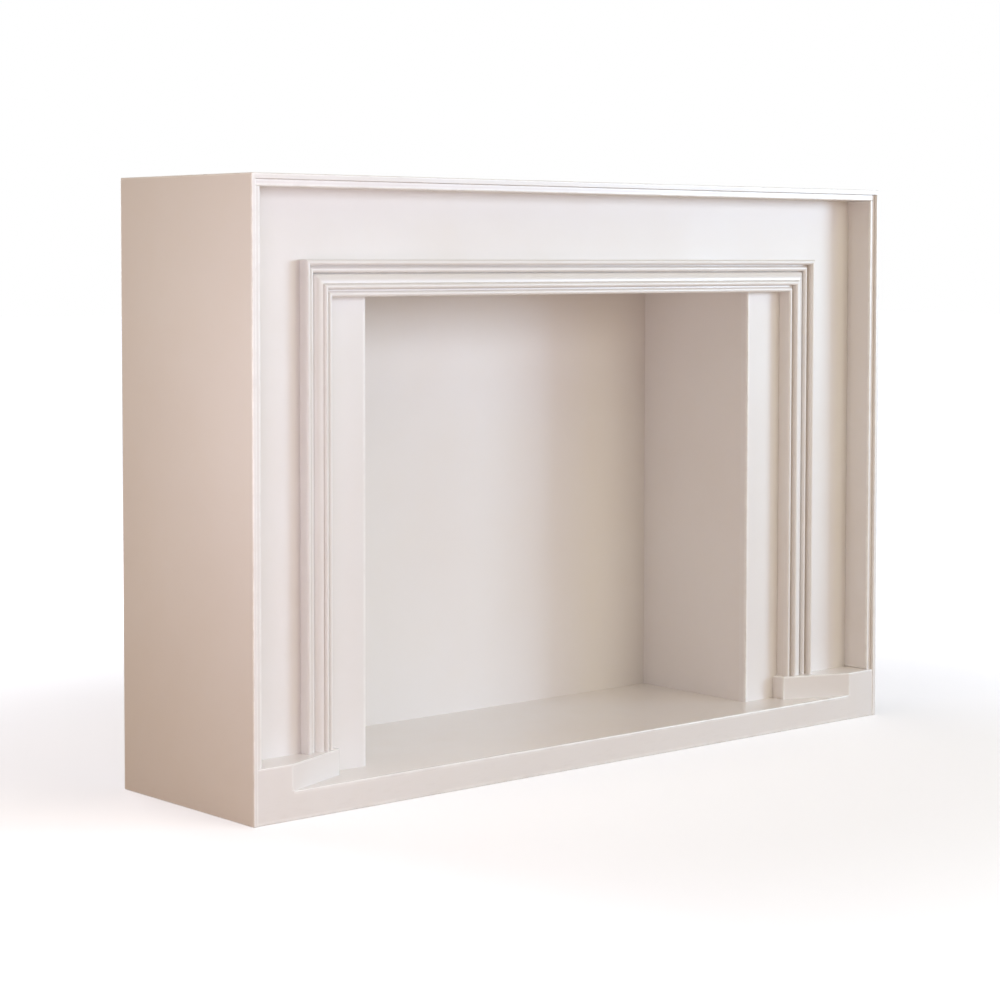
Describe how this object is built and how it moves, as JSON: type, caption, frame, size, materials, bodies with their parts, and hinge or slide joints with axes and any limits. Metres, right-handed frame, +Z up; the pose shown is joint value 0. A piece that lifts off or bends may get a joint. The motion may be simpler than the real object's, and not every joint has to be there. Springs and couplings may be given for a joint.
{
  "type": "fireplace surround",
  "caption": "Free-standing white painted box-shaped fireplace surround with a deep recessed front, a beaded moulding round an empty firebox, low corner blocks and a hearth.",
  "frame": {"origin": "middle of the footprint, on the floor", "axes": "+Z up, the front with the firebox faces -Y, +X to the right as seen from the front"},
  "size_m": [1.52, 0.385, 1.05],
  "materials": {
    "frame_paint": "satin warm-white paint on board",
    "panel_paint": "satin warm-white paint on board",
    "moulding_paint": "satin warm-white paint on moulded wood",
    "firebox_paint": "matt warm-white paint on board",
    "hearth_paint": "satin warm-white paint on board"
  },
  "bodies": {
    "root": {"side_skin_left": "frame_paint", "side_skin_right": "frame_paint", "top_skin": "frame_paint", "carcass_side_left": "frame_paint", "carcass_side_right": "frame_paint", "carcass_top": "frame_paint", "back_panel": "firebox_paint", "front_panel": "panel_paint", "outer_moulding_left": "moulding_paint", "outer_moulding_right": "moulding_paint", "outer_moulding_top": "moulding_paint", "inner_moulding_left": "moulding_paint", "inner_moulding_right": "moulding_paint", "inner_moulding_top": "moulding_paint", "slip_left": "panel_paint", "slip_right": "panel_paint", "firebox_wall_left": "firebox_paint", "firebox_wall_right": "firebox_paint", "firebox_ceiling": "firebox_paint", "hearth_board": "hearth_paint", "plinth_rail": "hearth_paint", "corner_block_left": "hearth_paint", "corner_block_right": "hearth_paint"}
  },
  "joints": []
}
